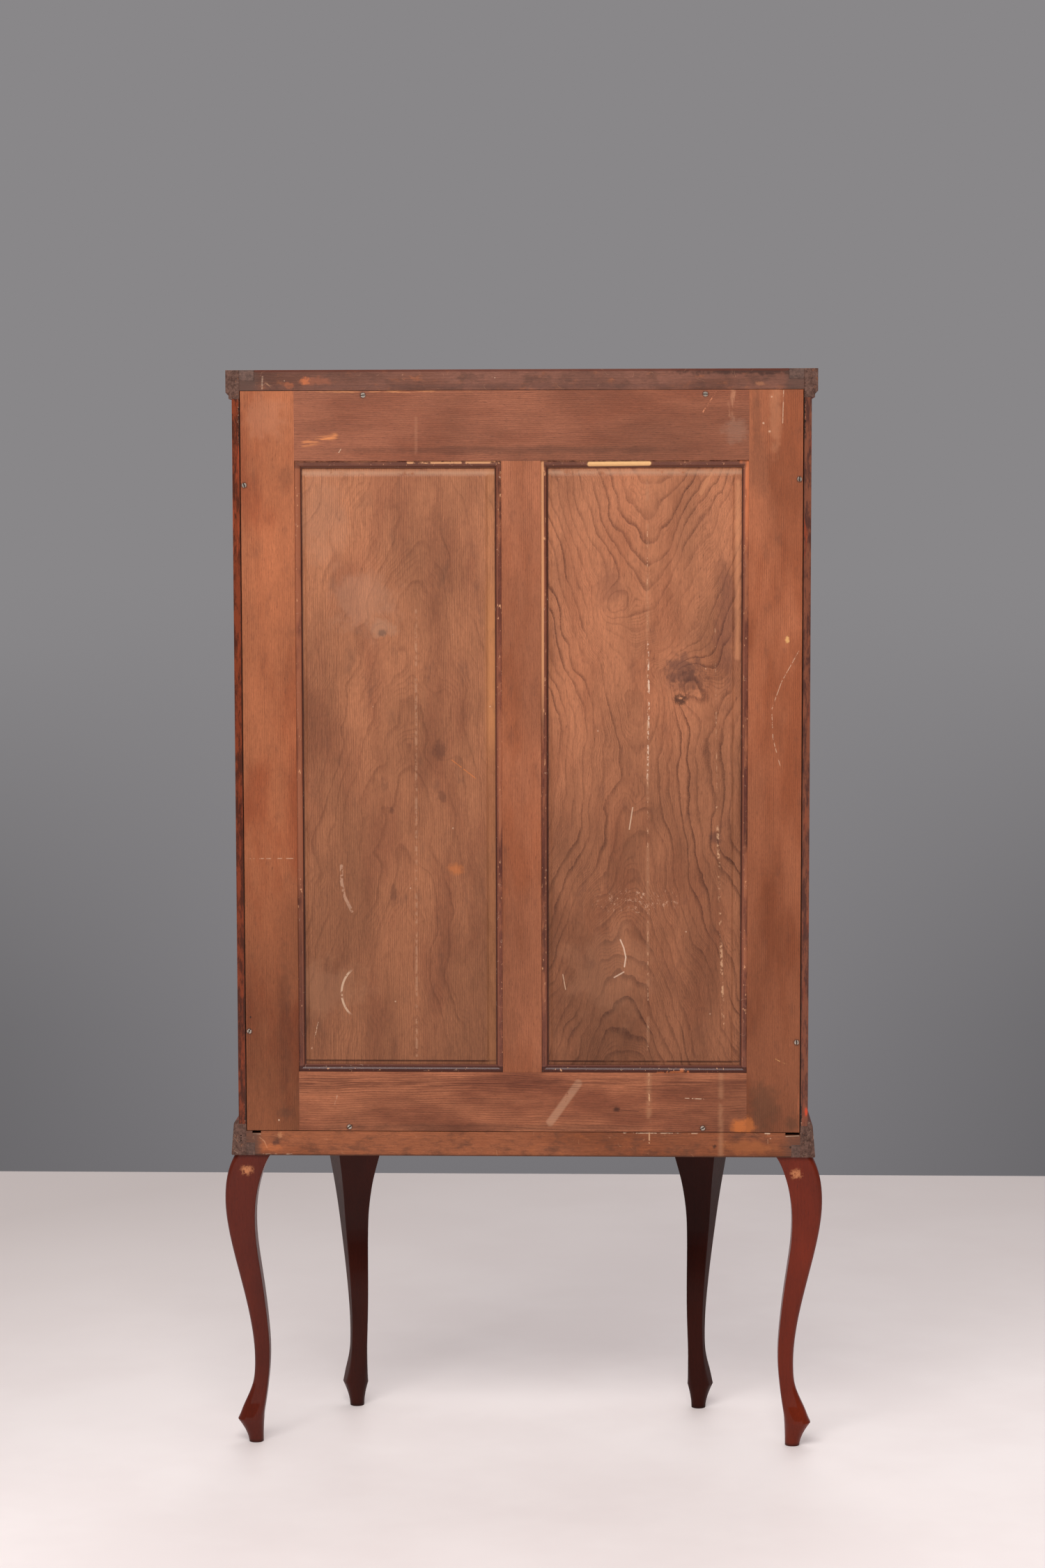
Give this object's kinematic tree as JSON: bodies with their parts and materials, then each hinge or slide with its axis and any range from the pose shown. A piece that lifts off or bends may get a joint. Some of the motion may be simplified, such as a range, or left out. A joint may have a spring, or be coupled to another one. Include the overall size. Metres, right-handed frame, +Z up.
{
  "type": "curio cabinet",
  "caption": "Glazed display cabinet with canted glass corners, one locking door, glass shelves and a panelled back, on tall cabriole legs.",
  "frame": {"origin": "middle of the overall footprint on the floor", "axes": "+Z up, the glazed door faces -Y and the panelled back faces +Y; left and right as seen from the front, left is -X"},
  "size_m": [0.8898, 0.284, 1.6],
  "materials": {
    "polished_mahogany": "dark red french polish",
    "mahogany": "french polish, worn at the back edges",
    "stained_pine": "thin dull stain over straight grain",
    "panel_wood": "thin dull stain over open grain",
    "dark_bead": "dark stain, worn pale at the edges",
    "carcass_wood": "bare, stained and soiled",
    "dowel_wood": "bare",
    "window_glass": "clear",
    "shelf_glass": "clear, polished edges",
    "brass": "aged",
    "steel": "aged"
  },
  "bodies": {
    "case": {"back_beads": "dark_bead", "back_muntin": "stained_pine", "back_panel_left": "panel_wood", "back_panel_right": "panel_wood", "back_rail_bottom": "stained_pine", "back_rail_top": "stained_pine", "back_screws": "steel", "back_stile_left": "stained_pine", "back_stile_right": "stained_pine", "base_back_rail": "carcass_wood", "base_front_rail": "carcass_wood", "base_moulding_front": "mahogany", "base_moulding_left": "mahogany", "base_moulding_right": "mahogany", "base_side_left": "carcass_wood", "base_side_right": "carcass_wood", "bottom_board": "carcass_wood", "cant_beads": "mahogany", "cant_glass": "window_glass", "cant_rails": "mahogany", "cant_stile_left": "mahogany", "cant_stile_right": "mahogany", "cornice_front": "mahogany", "cornice_left": "mahogany", "cornice_right": "mahogany", "door_stops": "mahogany", "front_post_left": "mahogany", "front_post_right": "mahogany", "glass_shelf_bottom": "shelf_glass", "glass_shelf_middle": "shelf_glass", "glass_shelf_top": "shelf_glass", "hinge_frame_leaves": "brass", "hinge_frame_screws": "brass", "hinge_pins": "brass", "leg_back_left": "polished_mahogany", "leg_back_right": "polished_mahogany", "leg_dowels": "dowel_wood", "leg_front_left": "polished_mahogany", "leg_front_right": "polished_mahogany", "shelf_pins": "brass", "side_board_left": "mahogany", "side_board_right": "mahogany", "strike_plate": "brass", "top_back_rail": "carcass_wood", "top_board": "carcass_wood", "top_front_rail": "carcass_wood", "top_side_left": "carcass_wood", "top_side_right": "carcass_wood"},
    "door": {"door_beads": "mahogany", "door_glass": "window_glass", "door_rail_bottom": "mahogany", "door_rail_top": "mahogany", "door_stile_hinge": "mahogany", "door_stile_lock": "mahogany", "hinge_door_leaves": "brass", "hinge_door_screws": "brass", "lock_case": "brass", "escutcheon": "brass"},
    "bolt": {"lock_bolt": "steel"},
    "key": {"key": "brass"}
  },
  "joints": [
    {"name": "door_hinge", "type": "hinge", "parent": "case", "child": "door", "pos_m": [-0.24325, -0.1115, 1], "axis": [0, 0, -1], "range_deg": [0, 170]},
    {"name": "key_turn", "type": "hinge", "parent": "door", "child": "key", "pos_m": [0.228, -0.12, 1.022], "axis": [0, 1, 0], "range_deg": [0, 180]},
    {"name": "bolt_slide", "type": "slide", "parent": "door", "child": "bolt", "axis": [1, 0, 0], "range_m": [0, 0.008]}
  ],
  "couplings": [
    {"joint": "bolt_slide", "follows": "key_turn", "m_per_rad": 0.0025464}
  ]
}
